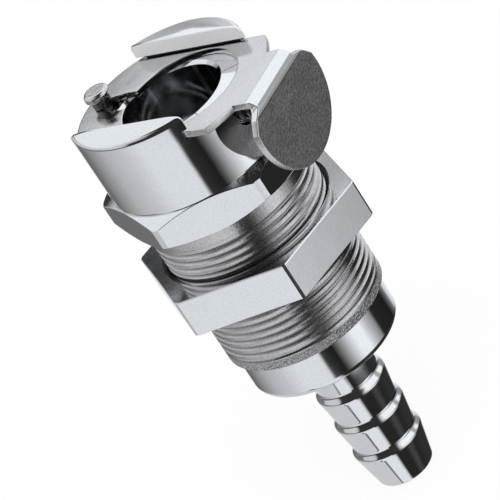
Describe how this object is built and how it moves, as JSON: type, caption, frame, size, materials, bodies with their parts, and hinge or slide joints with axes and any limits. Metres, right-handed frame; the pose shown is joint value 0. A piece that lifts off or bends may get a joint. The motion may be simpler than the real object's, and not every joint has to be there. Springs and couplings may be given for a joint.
{
  "type": "quick disconnect coupling body",
  "caption": "Panel-mount quick coupling body with sliding thumb latch, trigger pin, hexagonal flange, threaded barrel, panel nut and barbed hose stem.",
  "frame": {"origin": "centre of the hexagonal flange's lower face, which seats on the panel, on the coupling's axis", "axes": "+Z along the coupling's axis towards the mating face, +X towards the thumb pad, barbed stem down along -Z"},
  "size_m": [0.0304, 0.0286, 0.0631],
  "materials": {
    "plated_body": "bright plated",
    "plated_latch": "plated, satin on the pad",
    "plated_nut": "bright plated",
    "steel_pin": "polished",
    "spring_steel": "drawn wire",
    "seal_rubber": "smooth",
    "valve_plastic": "matte"
  },
  "bodies": {
    "housing": {"coupling_housing": "plated_body", "barb_adapter": "plated_body", "adapter_seal": "seal_rubber", "valve_guide": "valve_plastic", "latch_spring": "spring_steel", "trigger_pin_spring": "spring_steel", "valve_spring": "spring_steel"},
    "latch": {"thumb_latch": "plated_latch"},
    "pin": {"trigger_pin": "steel_pin"},
    "nut": {"panel_nut": "plated_nut"},
    "valve": {"valve_poppet": "valve_plastic", "poppet_seal": "seal_rubber"}
  },
  "joints": [
    {"name": "latch_slide", "type": "slide", "parent": "housing", "child": "latch", "axis": [-1, 0, 0], "range_m": [0, 0.0026], "stiffness_N_per_m": 2500, "springref_m": -0.002, "deforming": ["latch_spring"]},
    {"name": "pin_rise", "type": "slide", "parent": "housing", "child": "pin", "axis": [0, 0, 1], "range_m": [0, 0.001], "stiffness_N_per_m": 300, "springref_m": 0.004, "deforming": ["trigger_pin_spring"]},
    {"name": "valve_slide", "type": "slide", "parent": "housing", "child": "valve", "axis": [0, 0, -1], "range_m": [0, 0.0025], "stiffness_N_per_m": 900, "springref_m": -0.003, "deforming": ["valve_spring"]},
    {"name": "nut_travel", "type": "slide", "parent": "housing", "child": "nut", "axis": [0, 0, 1], "range_m": [-0.0094, 0.0048]}
  ],
  "couplings": [
    {"joint": "pin_rise", "follows": "latch_slide", "ratio": 0.3846}
  ]
}
